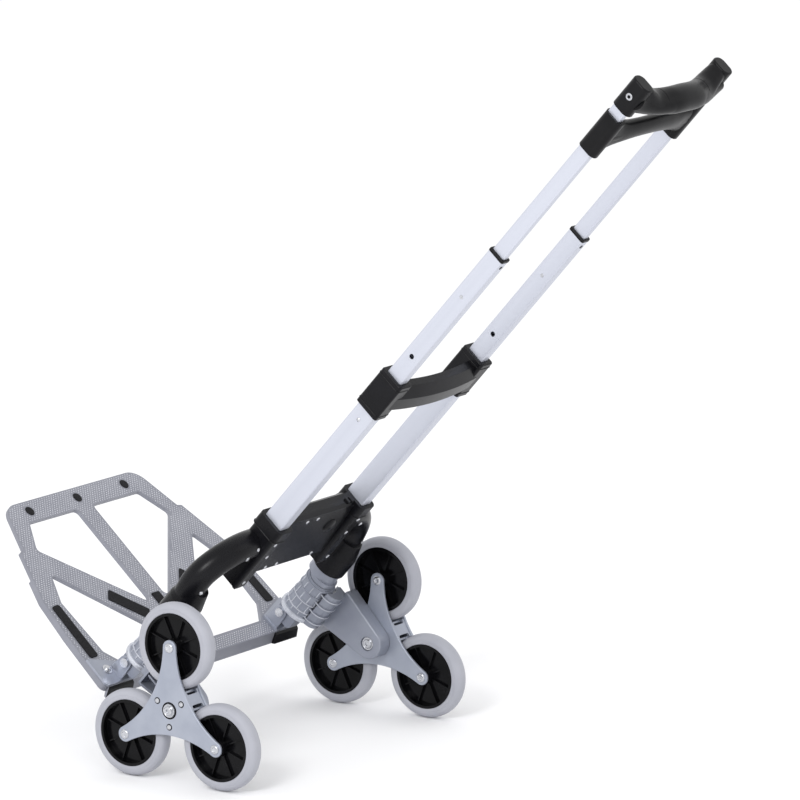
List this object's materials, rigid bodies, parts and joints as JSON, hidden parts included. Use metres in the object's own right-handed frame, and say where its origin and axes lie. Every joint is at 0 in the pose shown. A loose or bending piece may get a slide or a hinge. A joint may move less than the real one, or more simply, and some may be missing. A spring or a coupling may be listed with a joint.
{
  "type": "stair climbing trolley",
  "caption": "Folding hand trolley with three-wheeled stars on hinged brackets, a folding slotted toe plate, a telescopic twin-tube handle and a squeeze release bar under the grip.",
  "frame": {"origin": "on the floor, midway between the two stars and straight below their hub bolts' common line, with the trolley leaning back on four wheels", "axes": "+X to the right hand of the person who pushes it, +Y forward over the toe plate, +Z vertical; the tubes lean back by 41.65 degrees"},
  "size_m": [0.4954, 0.941, 0.9187],
  "materials": {
    "frame_black": "moulded, satin",
    "fitting_black": "moulded, matt",
    "grip_black": "moulded, fine grained",
    "tube_silver": "anodised, satin",
    "toe_silver": "silver, fine diamond texture",
    "sheet_silver": "silver painted sheet",
    "bracket_silver": "silver, satin",
    "star_silver": "silver, satin",
    "pad_black": "fine grained",
    "tyre_grey": "matt",
    "rim_black": "gloss moulded",
    "fastener_steel": "zinc plated"
  },
  "bodies": {
    "frame": {"frame_front_shell": "frame_black", "frame_rear_shell": "frame_black", "frame_screws": "fastener_steel", "left_hinge_block": "bracket_silver", "left_lower_tube": "tube_silver", "left_pivot_post": "fastener_steel", "left_post_collar": "bracket_silver", "right_hinge_block": "bracket_silver", "right_lower_tube": "tube_silver", "right_pivot_post": "fastener_steel", "right_post_collar": "bracket_silver", "tube_bridge": "frame_black", "tube_rivets": "fastener_steel"},
    "toe_plate": {"left_toe_bracket": "sheet_silver", "right_toe_bracket": "sheet_silver", "toe_bracket_bolts": "fastener_steel", "toe_hinge_lugs": "fitting_black", "toe_hinge_pins": "fastener_steel", "toe_plate": "toe_silver", "toe_plate_pads": "pad_black", "toe_plate_plugs": "fitting_black"},
    "middle_stage": {"left_middle_tube": "tube_silver", "middle_tube_collars": "fitting_black", "middle_tube_guides": "fitting_black", "right_middle_tube": "tube_silver"},
    "upper_stage": {"grip_bolts": "fastener_steel", "grip_front_shell": "grip_black", "grip_rear_shell": "grip_black", "left_upper_tube": "tube_silver", "right_upper_tube": "tube_silver", "upper_tube_guides": "fitting_black"},
    "release_bar": {"release_bar": "grip_black"},
    "left_bracket": {"left_hub_bolt": "fastener_steel", "left_knuckle_barrel": "bracket_silver", "left_wheel_bracket": "bracket_silver"},
    "left_star": {"left_star_inner_plate": "star_silver", "left_star_outer_plate": "star_silver", "left_star_screws": "fastener_steel", "left_star_spacer": "star_silver", "left_wheel_axles": "fastener_steel"},
    "left_wheel_1": {"left_rim_1": "rim_black", "left_tyre_1": "tyre_grey"},
    "left_wheel_2": {"left_rim_2": "rim_black", "left_tyre_2": "tyre_grey"},
    "left_wheel_3": {"left_rim_3": "rim_black", "left_tyre_3": "tyre_grey"},
    "right_bracket": {"right_hub_bolt": "fastener_steel", "right_knuckle_barrel": "bracket_silver", "right_wheel_bracket": "bracket_silver"},
    "right_star": {"right_star_inner_plate": "star_silver", "right_star_outer_plate": "star_silver", "right_star_screws": "fastener_steel", "right_star_spacer": "star_silver", "right_wheel_axles": "fastener_steel"},
    "right_wheel_1": {"right_rim_1": "rim_black", "right_tyre_1": "tyre_grey"},
    "right_wheel_2": {"right_rim_2": "rim_black", "right_tyre_2": "tyre_grey"},
    "right_wheel_3": {"right_rim_3": "rim_black", "right_tyre_3": "tyre_grey"}
  },
  "joints": [
    {"name": "toe_plate_fold", "type": "hinge", "parent": "frame", "child": "toe_plate", "pos_m": [0, 0.11576, 0.12711], "axis": [1, 0, 0], "range_deg": [0, 90]},
    {"name": "left_bracket_fold", "type": "hinge", "parent": "frame", "child": "left_bracket", "pos_m": [-0.168, 0.07697, 0.15417], "axis": [0, -0.6646, 0.7472], "range_deg": [0, 90]},
    {"name": "left_star_spin", "type": "hinge", "parent": "left_bracket", "child": "left_star", "pos_m": [-0.2265, 0, 0.09475], "axis": [1, 0, 0], "continuous": true},
    {"name": "left_wheel_1_spin", "type": "hinge", "parent": "left_star", "child": "left_wheel_1", "pos_m": [-0.2265, 0, 0.17425], "axis": [1, 0, 0], "continuous": true},
    {"name": "left_wheel_2_spin", "type": "hinge", "parent": "left_star", "child": "left_wheel_2", "pos_m": [-0.2265, -0.06885, 0.055], "axis": [1, 0, 0], "continuous": true},
    {"name": "left_wheel_3_spin", "type": "hinge", "parent": "left_star", "child": "left_wheel_3", "pos_m": [-0.2265, 0.06885, 0.055], "axis": [1, 0, 0], "continuous": true},
    {"name": "right_bracket_fold", "type": "hinge", "parent": "frame", "child": "right_bracket", "pos_m": [0.168, 0.07697, 0.15417], "axis": [0, -0.6646, 0.7472], "range_deg": [-90, 0]},
    {"name": "right_star_spin", "type": "hinge", "parent": "right_bracket", "child": "right_star", "pos_m": [0.2265, 0, 0.09475], "axis": [1, 0, 0], "continuous": true},
    {"name": "right_wheel_1_spin", "type": "hinge", "parent": "right_star", "child": "right_wheel_1", "pos_m": [0.2265, 0, 0.17425], "axis": [1, 0, 0], "continuous": true},
    {"name": "right_wheel_2_spin", "type": "hinge", "parent": "right_star", "child": "right_wheel_2", "pos_m": [0.2265, -0.06885, 0.055], "axis": [1, 0, 0], "continuous": true},
    {"name": "right_wheel_3_spin", "type": "hinge", "parent": "right_star", "child": "right_wheel_3", "pos_m": [0.2265, 0.06885, 0.055], "axis": [1, 0, 0], "continuous": true},
    {"name": "middle_stage_slide", "type": "slide", "parent": "frame", "child": "middle_stage", "axis": [0, -0.6646, 0.7472], "range_m": [-0.2, 0]},
    {"name": "upper_stage_slide", "type": "slide", "parent": "middle_stage", "child": "upper_stage", "axis": [0, -0.6646, 0.7472], "range_m": [-0.176, 0]},
    {"name": "release_bar_slide", "type": "slide", "parent": "upper_stage", "child": "release_bar", "axis": [0, -0.6646, 0.7472], "range_m": [0, 0.01], "stiffness_N_per_m": 500, "springref_m": -0.01}
  ]
}
